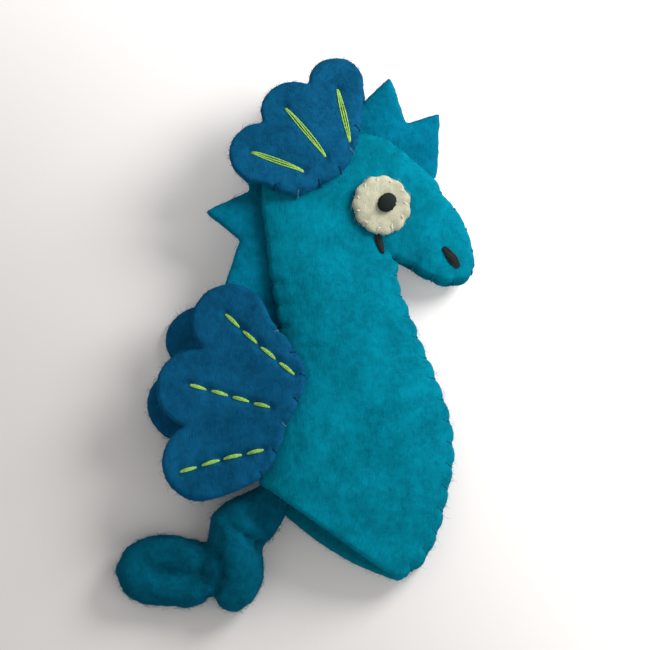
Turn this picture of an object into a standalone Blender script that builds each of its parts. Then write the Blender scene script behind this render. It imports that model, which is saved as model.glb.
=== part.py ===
"""A felt seahorse finger puppet, lying on its left side.

Metres, +Z up. +X runs to the snout's side and +Y to the top of the head.
Two felt panels are sewn together round a finger pocket, with a zigzag crest
in the seam, pairs of lobed fins sewn on the outside and a padded felt tail.
"""

import math

import bmesh
import bpy
import numpy as np
from mathutils import Vector
from mathutils.bvhtree import BVHTree
from mathutils.geometry import delaunay_2d_cdt

# The open hem laid flat has to take a finger, and sets the size of the pattern. The outlines
# and places below are drawn on a pattern whose hem measures PATTERN_HEM, so they follow it.
HEM_WIDTH = 0.0317
PATTERN_HEM = 31.7
PATTERN_UNIT = HEM_WIDTH / PATTERN_HEM

# Felt and thread
FELT = 0.0022            # the two body panels
FIN_FELT = 0.0020
CREST_FELT = 0.0021
EYE_FELT = 0.0016
FELT_EDGE = 0.0005       # rounding of a cut edge, measured inwards
CLEAR = 0.0003           # between pieces that lie on each other
THREAD_HEIGHT = 0.0006   # lime stitches
EAR_THREAD_WIDTH = 0.0012
BACK_THREAD_WIDTH = 0.0010
BLACK_THREAD_HEIGHT = 0.0009
NOSTRIL_WIDTH = 0.0017
THROAT_STITCH_WIDTH = 0.0015
KNOT_HEIGHT = 0.0016
KNOT_HALF_WIDTH = 0.0018
KNOT_HALF_LENGTH = 0.0021
KNOT_TILT = math.radians(35)

# The pocket between the panels
PUFF_TOP = 0.0045        # how far the upper panel bulges at the pocket
PUFF_UNDER = 0.0027      # and the panel that lies on the table
HEAD_PUFF_TOP = 0.0020
HEAD_PUFF_UNDER = 0.0010
PUFF_REACH = 0.012       # from the seam to the full bulge
HEAD_STARTS = -0.005     # along Y, where the bulge starts to fall
HEAD_FULL = 0.020        # and where it has the head's height
HEM_LIFT = 0.00035       # of the front hem corner off the table
HEM_STEP = 0.0016        # the lower panel's hem shows this far past the upper one's

# Seam
STITCH_PITCH = 0.0044    # whip stitches
SCALLOP = 0.00035        # how far the felt swells between two stitches
HEAD_SCALLOP_STARTS = 0.005   # along Y, where the swelling starts to shrink
HEAD_SCALLOP_FADE = 0.010
HEAD_SCALLOP_LESS = 0.6  # share that is missing on the head, which is sewn less tightly
SAMPLES_PER_STITCH = 4
HEM_SAMPLE = 0.0030
GAP_REACH = 0.006        # the seam opens fully this near to what it holds
GAP_FADE = 0.010         # and closes over this length

# Meshing
PANEL_CELL = 0.0040
FIN_CELL = 0.0042
EYE_CELL = 0.0034
LOBE_STEP = math.radians(13)
ROOT_SAMPLE = 0.0026
CREST_SAMPLE = 0.0030
STITCH_STEP = 0.0018

# Panel outline, in mm: corners at the throat and at both ends of the hem
FRONT_EDGE = [
    (17.6, 13.1), (18.8, 9.5), (20.3, 4.2), (23.1, -2.9), (25.9, -9.8), (28.8, -17.7),
    (29.8, -25.6), (28.8, -33.4), (26.5, -42.0), (24.3, -46.4), (22.2, -48.4), (18.9, -50.5),
]
HEM_EDGE = [(18.9, -50.5), (12.4, -46.7), (5.9, -42.3), (-0.9, -37.7), (-7.5, -32.9)]
BACK_EDGE = [
    (-7.5, -32.9), (-6.0, -24.5), (-4.7, -16.7), (-3.8, -9.8), (-3.8, -2.9), (-4.8, 3.1),
    (-5.9, 11.1), (-6.9, 18.2), (-7.6, 24.4), (-7.0, 28.6), (-4.0, 32.9), (2.0, 36.3),
    (9.1, 37.7), (15.2, 37.3), (19.2, 35.4), (23.3, 31.9), (26.9, 28.6), (28.5, 25.2),
    (30.7, 23.0), (32.5, 20.3), (33.7, 17.9), (34.4, 15.2), (34.8, 12.7), (34.5, 10.5),
    (33.1, 9.0), (31.2, 8.3), (29.0, 8.2), (27.0, 8.7), (24.8, 9.8), (22.4, 11.1),
    (20.4, 12.2), (17.6, 13.1),
]

# Crest: tips and valleys from the forehead round to the back, in mm
CREST_SPIKES = [
    (27.6, 30.6), (28.6, 44.0), (21.6, 41.2), (18.4, 51.2), (10.6, 43.4), (5.0, 48.4), (1.2, 41.4),
    (-5.6, 41.4), (-6.6, 35.4), (-11.2, 33.6), (-10.3, 25.9), (-18.7, 21.1), (-11.7, 15.5),
    (-15.6, 3.4), (-7.0, -3.2),
]
CREST_ROOT = 0.0040      # how deep the crest reaches into the seam

# Fins: lobe centres and radii, then the root from the last lobe back to the first, in mm
EAR_LOBES = [((-7.5, 31.3), 6.5), ((-1.4, 40.6), 6.6), ((7.2, 47.5), 5.4)]
EAR_ROOT = [
    (12.1, 38.0), (10.6, 31.8), (9.0, 28.7), (6.0, 26.4), (1.0, 23.3), (-1.2, 22.7), (-3.9, 23.5),
    (-9.0, 25.4),
]
BACK_LOBES = [((-18.4, -29.2), 7.3), ((-19.6, -15.2), 7.6), ((-13.4, -2.3), 7.4)]
BACK_ROOT = [
    (-5.6, -1.9), (-1.7, -6.7), (1.2, -11.5), (0.8, -16.4), (-1.7, -21.2),
    (-3.0, -25.1), (-4.5, -28.9), (-6.9, -32.6), (-12.0, -34.9),
]
LEFT_BACK_LOBES = [((-18.9, -27.4), 6.6), ((-22.9, -15.7), 7.5), ((-20.6, -2.4), 6.7)]
LEFT_BACK_ROOT = [
    (-13.6, 1.0), (-7.5, -2.2), (-3.2, -6.5), (0.0, -11.5), (0.0, -15.0), (-1.5, -20.0),
    (-3.5, -26.0), (-6.5, -30.3), (-12.0, -32.2),
]
LEFT_EAR_SHIFT = (0.8, 3.4)   # the left ear fin sits a little further up the head
FIN_LIFT = 0.0018        # a right fin stands this far off the seam that it passes over
EAR_DROOP = 0.10         # fall of a fin for each unit outside the panel
BACK_DROOP = 0.30
LEFT_DROOP = 0.35
REST_EDGE = 0.0024       # the left fins' rims touch the table, over this width

# Face, in mm
EYE_CENTRE = (16.15, 22.0)
EYE_RADIUS = 0.0057
EYE_STITCHES = 11
EYE_SCALLOP = 0.00025
KNOT_CENTRE = (17.2, 22.0)
NOSTRIL = [(28.7, 14.4), (31.6, 10.7)]
THROAT_STITCH = [(15.5, 15.9), (16.5, 13.1)]

# Lime stitches, in mm
EAR_STITCHES = [
    [(-9.8, 31.4), (0.9, 27.6)],
    [(-3.1, 41.2), (5.2, 30.7)],
    [(7.4, 45.8), (9.9, 34.0)],
]
BACK_STITCH_ROWS = [
    [(-14.3, -0.8), (-7.3, -7.4), (-0.9, -12.8)],
    [(-20.9, -14.6), (-13.8, -16.5), (-5.5, -19.1)],
    [(-22.4, -31.3), (-14.0, -28.7), (-6.6, -27.2)],
]
LEFT_BACK_STITCH_ROWS = [
    [(-21.8, -1.9), (-16.4, -5.6), (-8.4, -8.6)],
    [(-25.2, -15.6), (-17.4, -16.0), (-8.6, -15.8)],
    [(-20.2, -27.4), (-15.0, -26.2), (-9.4, -25.2)],
]
DASHES = 4
DASH_GAP = 0.0010
THREAD_END = 0.5         # a stitch's ends are this share of its full width and height
THREAD_SWELL = 6.0       # and how soon it reaches them

# Sections, as shares of the half width and the height
THREAD_PROFILE = ((-1.0, 0.0), (-0.7, 0.75), (0.0, 1.0), (0.7, 0.75), (1.0, 0.0))
KNOT_LAYERS = ((0.80, 0.0), (1.0, 0.30), (0.85, 0.70), (0.45, 0.95))
KNOT_SIDES = 14

# Tail: its line and its half width at each point, in mm
TAIL_LINE = [
    (-2.6, -27.4), (-3.2, -31.0), (-4.4, -34.7), (-7.3, -38.0), (-11.0, -40.4), (-12.5, -43.4),
    (-12.3, -46.6), (-12.0, -49.4), (-13.4, -52.2), (-17.0, -53.5), (-21.5, -53.1), (-26.0, -52.5),
    (-29.9, -51.5), (-31.5, -49.0), (-29.9, -46.5), (-26.0, -45.5), (-20.4, -46.4),
]
TAIL_RADII = [
    3.0, 3.2, 3.4, 4.4, 5.0, 4.7, 4.6, 4.5, 4.0, 3.4, 3.3, 3.3, 3.2, 3.2, 3.2, 3.3, 3.4,
]
TAIL_TONGUE = 0.0022     # thickness of the root that is sewn in
TAIL_TONGUE_POINTS = 3   # the points of the line that lie inside the pocket
TAIL_MOUTH = 0.25        # how far the tail has thickened where it leaves the hem
TAIL_SIDES = 12
TAIL_STEP = 0.0021

# Colour, roughness
TURQUOISE = (0.003, 0.209, 0.314)
CREST_BLUE = (0.003, 0.156, 0.270)
FIN_BLUE = (0.005, 0.075, 0.165)
TAIL_TEAL = (0.004, 0.120, 0.170)
CREAM = (0.730, 0.700, 0.540)
BLACK = (0.012, 0.018, 0.018)
LIME = (0.240, 0.560, 0.090)
FELT_ROUGH = 0.95
THREAD_ROUGH = 0.60

RIGHT, LEFT = 1, -1      # the right side is the upper one as the puppet lies


def clear_scene():
    for old in list(bpy.data.objects):
        bpy.data.objects.remove(old, do_unlink=True)


def felt_material(name, colour, roughness):
    material = bpy.data.materials.new(name)
    material.use_nodes = True
    shader = material.node_tree.nodes["Principled BSDF"]
    shader.inputs["Base Color"].default_value = (*colour, 1.0)
    shader.inputs["Roughness"].default_value = roughness
    shader.inputs["Metallic"].default_value = 0.0
    return material


def in_metres(points):
    return [(x * PATTERN_UNIT, y * PATTERN_UNIT) for x, y in points]


def smooth_step(value):
    value = min(1.0, max(0.0, value))
    return value * value * (3.0 - 2.0 * value)


def spline(points, per_span=12):
    """A Catmull-Rom curve through the points, as a dense list."""
    knots = [Vector(p) for p in points]
    knots = [2 * knots[0] - knots[1], *knots, 2 * knots[-1] - knots[-2]]
    dense = []
    for a, b, c, d in zip(knots, knots[1:], knots[2:], knots[3:]):
        for step in range(per_span):
            t = step / per_span
            dense.append(0.5 * (2 * b + (c - a) * t + (2 * a - 5 * b + 4 * c - d) * t**2
                                + (3 * b - a - 3 * c + d) * t**3))
    dense.append(knots[-2])
    return dense


def resample(curve, step, minimum=2):
    """Even points along a dense curve, with both ends kept."""
    lengths = [0.0]
    for a, b in zip(curve, curve[1:]):
        lengths.append(lengths[-1] + (b - a).length)
    count = max(minimum, round(lengths[-1] / step))
    places = np.linspace(0.0, lengths[-1], count + 1)
    columns = [np.interp(places, lengths, [p[axis] for p in curve]) for axis in range(len(curve[0]))]
    return [Vector(row) for row in zip(*columns)]


def left_normals(points, closed=True):
    """Unit normals to the left of the way that the points run."""
    normals = []
    for i, point in enumerate(points):
        before = points[i - 1] if closed or i else point
        after = points[(i + 1) % len(points)] if closed or i + 1 < len(points) else point
        along = (after - before).normalized()
        normals.append(Vector((-along.y, along.x)))
    return normals


class Line:
    """Distances to a chain of points."""

    def __init__(self, points):
        table = np.array([(p[0], p[1]) for p in points])
        self.start = table[:-1]
        self.way = table[1:] - table[:-1]
        self.squares = np.maximum((self.way**2).sum(axis=1), 1e-18)

    def distance(self, x, y):
        place = np.array((x, y))
        share = ((place - self.start) * self.way).sum(axis=1) / self.squares
        nearest = self.start + self.way * np.clip(share, 0.0, 1.0)[:, None]
        return float(np.sqrt(((place - nearest)**2).sum(axis=1)).min())


class Area(Line):
    """A closed outline that knows what lies inside it."""

    def __init__(self, points):
        super().__init__([*points, points[0]])
        self.end = self.start + self.way

    def inside(self, x, y):
        above = (self.start[:, 1] > y) != (self.end[:, 1] > y)
        rise = np.where(above, self.way[:, 1], 1.0)
        crossing = self.start[:, 0] + (y - self.start[:, 1]) * self.way[:, 0] / rise
        return bool((above & (x < crossing)).sum() % 2)


class Body:
    """The sewn body: its outline, the seam and the two panels' surfaces."""

    def __init__(self):
        front = spline(in_metres(FRONT_EDGE))
        hem = spline(in_metres(HEM_EDGE))
        back = spline(in_metres(BACK_EDGE))
        seam_step = STITCH_PITCH / SAMPLES_PER_STITCH
        self.front = self.scallop(resample(front, seam_step))
        self.back = self.scallop(resample(back, seam_step))
        hem = resample(hem, HEM_SAMPLE)
        hems = {RIGHT: hem, LEFT: self.longer_hem(hem)}
        self.outlines = {side: (self.front[:-1] + hems[side][:-1] + self.back[:-1])[::-1]
                         for side in (RIGHT, LEFT)}
        self.seam = Line(self.back + self.front[1:])
        self.area = Area(self.outlines[LEFT])
        self.crest_seam = self.crest_stretch(back)
        self.crest_line = Line(self.crest_seam)
        self.tail_line = Line(in_metres(TAIL_LINE[:TAIL_TONGUE_POINTS + 1]))
        self.slopes = self.lie_down()

    @staticmethod
    def scallop(points):
        """Felt swells between two whip stitches and is drawn in at each."""
        swollen = [points[0]]
        for i, normal in enumerate(left_normals(points, closed=False)[1:-1], start=1):
            swell = abs(math.sin(math.pi * i / SAMPLES_PER_STITCH))
            on_head = smooth_step((points[i].y - HEAD_SCALLOP_STARTS) / HEAD_SCALLOP_FADE)
            depth = SCALLOP * (1.0 - on_head * HEAD_SCALLOP_LESS)
            swollen.append(points[i] + normal * depth * (swell - 0.5))
        swollen.append(points[-1])
        return swollen

    @staticmethod
    def longer_hem(hem):
        """The lower panel lies flat, so its hem reaches further than the bulging one's."""
        steps = [HEM_STEP * math.sin(math.pi * i / (len(hem) - 1)) for i in range(len(hem))]
        return [p + n * step for p, n, step in zip(hem, left_normals(hem, closed=False), steps)]

    @staticmethod
    def crest_stretch(back):
        """The stretch of the back seam that holds the crest."""
        first = Vector(in_metres(CREST_SPIKES[-1:])[0])
        last = Vector(in_metres(CREST_SPIKES[:1])[0])
        start = min(range(len(back)), key=lambda i: (back[i] - first).length)
        end = min(range(len(back)), key=lambda i: (back[i] - last).length)
        return back[start:end + 1]

    def seam_gap(self, x, y):
        """Half of the space in the seam: it opens for the crest and for the tail's root."""
        crest = smooth_step((GAP_REACH + GAP_FADE - self.crest_line.distance(x, y)) / GAP_FADE)
        tail = smooth_step((GAP_REACH + GAP_FADE - self.tail_line.distance(x, y)) / GAP_FADE)
        gap = CLEAR / 2
        gap += crest * (CREST_FELT + CLEAR) / 2
        gap += tail * (TAIL_TONGUE + CLEAR) / 2
        return gap

    def bulge(self, x, y, side):
        """How far a panel stands off the seam, on its pocket side."""
        if not self.area.inside(x, y):
            return self.seam_gap(x, y)
        depth = min(1.0, self.seam.distance(x, y) / PUFF_REACH)
        head = smooth_step((y - HEAD_STARTS) / (HEAD_FULL - HEAD_STARTS))
        pocket, crown = (PUFF_TOP, HEAD_PUFF_TOP) if side == RIGHT else (PUFF_UNDER, HEAD_PUFF_UNDER)
        puff = pocket + (crown - pocket) * head
        return self.seam_gap(x, y) + puff * (1.0 - (1.0 - depth)**2)

    def lie_down(self):
        """The seam's plane, from the three places where the puppet rests on the table."""
        hem = in_metres(FRONT_EDGE[-2:-1])[0]
        fin = in_metres(LEFT_BACK_ROOT[-3:-2])[0]
        eye = in_metres([KNOT_CENTRE])[0]
        heights = [
            FELT + CLEAR / 2 + HEM_LIFT,
            FIN_FELT + CLEAR + FELT + self.bulge(*fin, LEFT),
            KNOT_HEIGHT + CLEAR + EYE_FELT + CLEAR + FELT + self.bulge(*eye, LEFT),
        ]
        rows = [(1.0, *place) for place in (hem, fin, eye)]
        return np.linalg.solve(np.array(rows), np.array(heights))

    def seam_height(self, x, y):
        return float(self.slopes[0] + self.slopes[1] * x + self.slopes[2] * y)

    def inner(self, x, y, side):
        """A panel's face towards the pocket."""
        if side == RIGHT:
            return self.seam_height(x, y) + self.bulge(x, y, RIGHT)
        return self.outer(x, y, LEFT) + FELT

    def outer(self, x, y, side):
        """A panel's outside face. The left one lies flat where it meets the table."""
        if side == RIGHT:
            return self.inner(x, y, RIGHT) + FELT
        return max(0.0, self.seam_height(x, y) - self.bulge(x, y, LEFT) - FELT)

    def outside(self, x, y):
        return 0.0 if self.area.inside(x, y) else self.area.distance(x, y)


class Fin:
    """A lobed fin on one side of the body."""

    def __init__(self, body, side, lobes, root, droop):
        self.body = body
        self.side = side
        self.droop = droop
        self.outline = lobed_outline(lobes, root)
        self.rim = Area(self.outline)

    def inner(self, x, y):
        """The face towards the body."""
        body = self.body
        seam = body.seam_height(x, y)
        gap = body.seam_gap(x, y)
        fall = self.droop * body.outside(x, y)
        if self.side == RIGHT:
            seated = body.outer(x, y, RIGHT) + CLEAR
            hanging = seam + gap + FELT + CLEAR + FIN_LIFT - fall
            return 0.5 * (seated + hanging + math.hypot(seated - hanging, CLEAR))
        seated = body.outer(x, y, LEFT) - CLEAR - FIN_FELT
        hanging = seam - gap - FELT - CLEAR - FIN_FELT - fall
        rest = (THREAD_HEIGHT + CLEAR) * smooth_step(self.rim.distance(x, y) / REST_EDGE)
        return max(0.0, min(seated, max(hanging, rest))) + FIN_FELT

    def outer(self, x, y):
        return self.inner(x, y) + self.side * FIN_FELT


def lobed_outline(lobes, root):
    """Arcs round the lobes, which cross at the valleys, then the root's curve."""
    circles = [(Vector(in_metres([centre])[0]), radius * PATTERN_UNIT) for centre, radius in lobes]
    root = [Vector(p) for p in in_metres(root)]
    stops = [tangent_point(*circles[0], root[-1], turn=1)]
    for (a, ra), (b, rb) in zip(circles, circles[1:]):
        stops.append(circle_crossing(a, ra, b, rb))
    stops.append(tangent_point(*circles[-1], root[0], turn=-1))
    points = []
    for (centre, radius), start, stop in zip(circles, stops, stops[1:]):
        points += clockwise_arc(centre, radius, start, stop)[:-1]
    root_curve = resample(spline([stops[-1], *root, stops[0]]), ROOT_SAMPLE)
    return (points + root_curve[:-1])[::-1]


def circle_crossing(a, ra, b, rb):
    """Where two lobes cross, on the left of the way from a to b."""
    way = b - a
    apart = way.length
    along = (apart**2 + ra**2 - rb**2) / (2 * apart)
    off = math.sqrt(max(0.0, ra**2 - along**2))
    unit = way / apart
    return a + unit * along + Vector((-unit.y, unit.x)) * off


def tangent_point(centre, radius, outside, turn):
    """Where a straight line from a point outside touches a circle."""
    way = outside - centre
    reach = math.acos(min(1.0, radius / way.length))
    angle = math.atan2(way.y, way.x) - turn * reach
    return centre + radius * Vector((math.cos(angle), math.sin(angle)))


def clockwise_arc(centre, radius, start, stop):
    begin = math.atan2(start.y - centre.y, start.x - centre.x)
    end = math.atan2(stop.y - centre.y, stop.x - centre.x)
    while end >= begin:
        end -= 2 * math.pi
    count = max(3, round((begin - end) / LOBE_STEP))
    angles = np.linspace(begin, end, count + 1)
    return [centre + radius * Vector((math.cos(a), math.sin(a))) for a in angles]


def crest_outline(body):
    """The zigzag outside the seam, and inside it a root that follows the seam."""
    spikes = [Vector(p) for p in in_metres(CREST_SPIKES)]
    points = []
    for a, b in zip(spikes, spikes[1:]):
        points += resample([a, b], CREST_SAMPLE)[:-1]
    root = resample(body.crest_seam, CREST_SAMPLE)
    normals = left_normals(root, closed=False)
    inner = [p - n * CREST_ROOT for p, n in zip(root, normals)]
    return points + [spikes[-1]] + inner


def eye_outline():
    centre = Vector(in_metres([EYE_CENTRE])[0])
    count = EYE_STITCHES * SAMPLES_PER_STITCH
    points = []
    for i in range(count):
        angle = 2 * math.pi * i / count
        radius = EYE_RADIUS + EYE_SCALLOP * abs(math.sin(math.pi * i / SAMPLES_PER_STITCH))
        points.append(centre + radius * Vector((math.cos(angle), math.sin(angle))))
    return points


def lattice(area, cell):
    """Points inside an outline, in staggered rows, clear of its rim."""
    ends = np.vstack([area.start, area.end])
    low = ends.min(axis=0)
    high = ends.max(axis=0)
    rise = cell * math.sqrt(3) / 2
    points = []
    for row in range(int((high[1] - low[1]) / rise) + 1):
        y = low[1] + (row + 0.5) * rise
        shift = 0.25 if row % 2 else 0.75
        for column in range(int((high[0] - low[0]) / cell) + 1):
            x = low[0] + (column + shift) * cell
            if area.inside(x, y) and area.distance(x, y) > 0.6 * cell:
                points.append(Vector((x, y)))
    return points


def felt_sheet(name, outline, under, over, cell, material):
    """A sheet of felt between two surfaces, with a soft cut edge."""
    inset = [p + n * FELT_EDGE for p, n in zip(outline, left_normals(outline))]
    count = len(inset)
    places = inset + lattice(Area(inset), cell)
    ring = [(i, (i + 1) % count) for i in range(count)]
    places_out, _, faces, origins, _, _ = delaunay_2d_cdt(places, ring, [], 1, 1e-9)
    mesh = bmesh.new()
    lower = [mesh.verts.new((p.x, p.y, under(p.x, p.y))) for p in places_out]
    upper = [mesh.verts.new((p.x, p.y, over(p.x, p.y))) for p in places_out]
    for face in faces:
        mesh.faces.new([upper[i] for i in face])
        mesh.faces.new([lower[i] for i in reversed(face)])
    found = {source: i for i, sources in enumerate(origins) for source in sources}
    middle = [mesh.verts.new((p.x, p.y, 0.5 * (under(p.x, p.y) + over(p.x, p.y)))) for p in outline]
    for i, j in ring:
        mesh.faces.new((middle[i], middle[j], upper[found[j]], upper[found[i]]))
        mesh.faces.new((lower[found[i]], lower[found[j]], middle[j], middle[i]))
    return add_piece(name, mesh, material)


def thread_stitch(name, line, width, height, seat, side, material):
    """A stitch that lies on a face: flat against it, rounded outside, thin at both ends."""
    places = resample(line, STITCH_STEP, 4)
    along = (line[-1] - line[0]).normalized()
    across = Vector((-along.y, along.x))
    mesh = bmesh.new()
    rings = []
    for i, middle in enumerate(places):
        share = i / (len(places) - 1)
        swell = min(1.0, THREAD_SWELL * share * (1.0 - share))
        size = THREAD_END + (1.0 - THREAD_END) * swell
        ring = []
        for off, rise in THREAD_PROFILE:
            spot = middle + across * off * size * width / 2
            z = seat(spot.x, spot.y) + side * (CLEAR + rise * size * height)
            ring.append(mesh.verts.new((spot.x, spot.y, z)))
        rings.append(ring)
    for a, b in zip(rings, rings[1:]):
        for i in range(len(THREAD_PROFILE)):
            j = (i + 1) % len(THREAD_PROFILE)
            mesh.faces.new((a[i], a[j], b[j], b[i]))
    mesh.faces.new(rings[0][::-1])
    mesh.faces.new(rings[-1])
    return add_piece(name, mesh, material)


def knot(name, seat, side, material):
    """A flat-bottomed oval knot of thread."""
    centre = Vector(in_metres([KNOT_CENTRE])[0])
    long_way = Vector((math.sin(KNOT_TILT), math.cos(KNOT_TILT)))
    wide_way = Vector((long_way.y, -long_way.x))
    base = max if side == RIGHT else min
    spots = []
    for i in range(KNOT_SIDES):
        angle = 2 * math.pi * i / KNOT_SIDES
        spots.append(long_way * math.cos(angle) * KNOT_HALF_LENGTH
                     + wide_way * math.sin(angle) * KNOT_HALF_WIDTH)
    floor = base(seat(*(centre + spot)) for spot in spots) + side * CLEAR
    mesh = bmesh.new()
    rings = []
    for size, rise in KNOT_LAYERS:
        z = floor + side * rise * (KNOT_HEIGHT - abs(floor - side * CLEAR - seat(*centre)))
        rings.append([mesh.verts.new((*(centre + spot * size), z)) for spot in spots])
    for a, b in zip(rings, rings[1:]):
        for i in range(KNOT_SIDES):
            j = (i + 1) % KNOT_SIDES
            mesh.faces.new((a[i], a[j], b[j], b[i]))
    mesh.faces.new(rings[0])
    mesh.faces.new(rings[-1])
    return add_piece(name, mesh, material)


def tail_piece(body, material):
    """A padded roll that starts as a flat tongue between the panels and curls on the table."""
    flat_side = math.cos(math.pi / TAIL_SIDES)
    knots = []
    for i, ((x, y), radius) in enumerate(zip(in_metres(TAIL_LINE), TAIL_RADII)):
        inside = i < TAIL_TONGUE_POINTS
        half_width = radius * PATTERN_UNIT
        half_height = TAIL_TONGUE / 2 if inside else half_width
        height = body.seam_height(x, y) if inside else half_width * flat_side
        knots.append((x, y, height, half_width, half_height))
    mouth = TAIL_TONGUE_POINTS
    x, y, _, half_width, _ = knots[mouth]
    half_height = TAIL_TONGUE / 2 + TAIL_MOUTH * (half_width - TAIL_TONGUE / 2)
    knots[mouth] = (x, y, 0.5 * (body.seam_height(x, y) + half_width), half_width, half_height)
    dense = spline([Vector(k) for k in knots])
    stations = [Vector(row) for row in resample(dense, TAIL_STEP)]
    mesh = bmesh.new()
    rings = []
    for i, station in enumerate(stations):
        before = stations[max(0, i - 1)]
        after = stations[min(len(stations) - 1, i + 1)]
        along = Vector((after[0] - before[0], after[1] - before[1], after[2] - before[2])).normalized()
        across = Vector((-along.y, along.x, 0.0)).normalized()
        rise = along.cross(across)
        for size, push in end_shape(i, len(stations)):
            middle = Vector(station[:3]) + along * push * station[3]
            middle.z = max(middle.z, station[4] * size * flat_side)
            ring = []
            for k in range(TAIL_SIDES):
                angle = 2 * math.pi * (k + 0.5) / TAIL_SIDES
                ring.append(mesh.verts.new(middle + across * math.cos(angle) * station[3] * size
                                           + rise * math.sin(angle) * station[4] * size))
            rings.append(ring)
    for a, b in zip(rings, rings[1:]):
        for i in range(TAIL_SIDES):
            j = (i + 1) % TAIL_SIDES
            mesh.faces.new((a[i], a[j], b[j], b[i]))
    mesh.faces.new(rings[0][::-1])
    mesh.faces.new(rings[-1])
    return add_piece("tail", mesh, material)


def end_shape(i, count):
    """Ring sizes and pushes along the tail: rounded at both ends."""
    if i == 0:
        return ((0.7, -0.15), (1.0, 0.0))
    if i == count - 1:
        return ((1.0, 0.0), (0.87, 0.45), (0.5, 0.82))
    return ((1.0, 0.0),)


def add_piece(name, mesh, material):
    """Makes the object, with its origin at the middle of its own box."""
    bmesh.ops.recalc_face_normals(mesh, faces=mesh.faces)
    places = np.array([v.co for v in mesh.verts])
    centre = Vector((places.min(axis=0) + places.max(axis=0)) / 2)
    bmesh.ops.translate(mesh, verts=mesh.verts, vec=-centre)
    data = bpy.data.meshes.new(name)
    mesh.to_mesh(data)
    mesh.free()
    data.materials.append(material)
    data.shade_smooth()
    data.set_sharp_from_angle(angle=math.radians(50))
    piece = bpy.data.objects.new(name, data)
    piece.location = centre
    bpy.context.scene.collection.objects.link(piece)
    return piece


def outer_face(piece, side):
    """The height of a sheet's outside face, read where a vertical line meets it."""
    corners = [v.co + piece.location for v in piece.data.vertices]
    tree = BVHTree.FromPolygons(corners, [tuple(p.vertices) for p in piece.data.polygons])
    far = Vector((0.0, 0.0, side))

    def height(x, y):
        hit = tree.ray_cast(Vector((x, y, 0.0)) + far, -far)[0]
        return hit.z

    return height


def side_name(side):
    return "right" if side == RIGHT else "left"


def build_panels(body):
    pieces = []
    for side in (RIGHT, LEFT):
        surfaces = [lambda x, y: body.inner(x, y, side), lambda x, y: body.outer(x, y, side)]
        under, over = surfaces[::side]
        name = f"{side_name(side)}_panel"
        material = felt_material(name, TURQUOISE, FELT_ROUGH)
        pieces.append(felt_sheet(name, body.outlines[side], under, over, PANEL_CELL, material))
    return pieces


def build_crest(body):
    material = felt_material("crest", CREST_BLUE, FELT_ROUGH)
    half = CREST_FELT / 2

    def under(x, y):
        return body.seam_height(x, y) - half

    def over(x, y):
        return body.seam_height(x, y) + half

    return [felt_sheet("crest", crest_outline(body), under, over, PANEL_CELL, material)]


def build_fin(name, fin):
    under, over = [fin.inner, fin.outer][::fin.side]
    material = felt_material(name, FIN_BLUE, FELT_ROUGH)
    return felt_sheet(name, fin.outline, under, over, FIN_CELL, material)


def straight_stitches(prefix, piece, side, lines):
    pieces = []
    seat = outer_face(piece, side)
    for number, line in enumerate(lines, start=1):
        ends = [Vector(p) for p in in_metres(line)]
        name = f"{prefix}_stitch_{number}"
        material = felt_material(name, LIME, THREAD_ROUGH)
        pieces.append(thread_stitch(name, ends, EAR_THREAD_WIDTH, THREAD_HEIGHT, seat, side,
                                    material))
    return pieces


def running_stitches(prefix, piece, side, rows):
    pieces = []
    seat = outer_face(piece, side)
    for row_number, row in enumerate(rows, start=1):
        curve = resample(spline(in_metres(row)), DASH_GAP / 4)
        length = (len(curve) - 1) * (curve[1] - curve[0]).length
        dash = (length - (DASHES - 1) * DASH_GAP) / DASHES
        step = length / (len(curve) - 1)
        for number in range(DASHES):
            start = number * (dash + DASH_GAP)
            ends = [curve[round(start / step)], curve[round((start + dash) / step)]]
            name = f"{prefix}_stitch_{row_number}_{number + 1}"
            material = felt_material(name, LIME, THREAD_ROUGH)
            pieces.append(thread_stitch(name, ends, BACK_THREAD_WIDTH, THREAD_HEIGHT, seat,
                                        side, material))
    return pieces


def build_fins(body):
    shift = Vector(LEFT_EAR_SHIFT)
    left_lobes = [(tuple(Vector(centre) + shift), radius) for centre, radius in EAR_LOBES]
    left_root = [tuple(Vector(p) + shift) for p in EAR_ROOT]
    left_lines = [[tuple(Vector(p) + shift) for p in line] for line in EAR_STITCHES]
    right_ear = build_fin("right_ear_fin", Fin(body, RIGHT, EAR_LOBES, EAR_ROOT, EAR_DROOP))
    left_ear = build_fin("left_ear_fin", Fin(body, LEFT, left_lobes, left_root, LEFT_DROOP))
    right_back = build_fin("right_back_fin", Fin(body, RIGHT, BACK_LOBES, BACK_ROOT, BACK_DROOP))
    left_back = build_fin("left_back_fin",
                          Fin(body, LEFT, LEFT_BACK_LOBES, LEFT_BACK_ROOT, LEFT_DROOP))
    pieces = [right_ear, left_ear, right_back, left_back]
    pieces += straight_stitches("right_ear", right_ear, RIGHT, EAR_STITCHES)
    pieces += straight_stitches("left_ear", left_ear, LEFT, left_lines)
    pieces += running_stitches("right_back", right_back, RIGHT, BACK_STITCH_ROWS)
    pieces += running_stitches("left_back", left_back, LEFT, LEFT_BACK_STITCH_ROWS)
    return pieces


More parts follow.
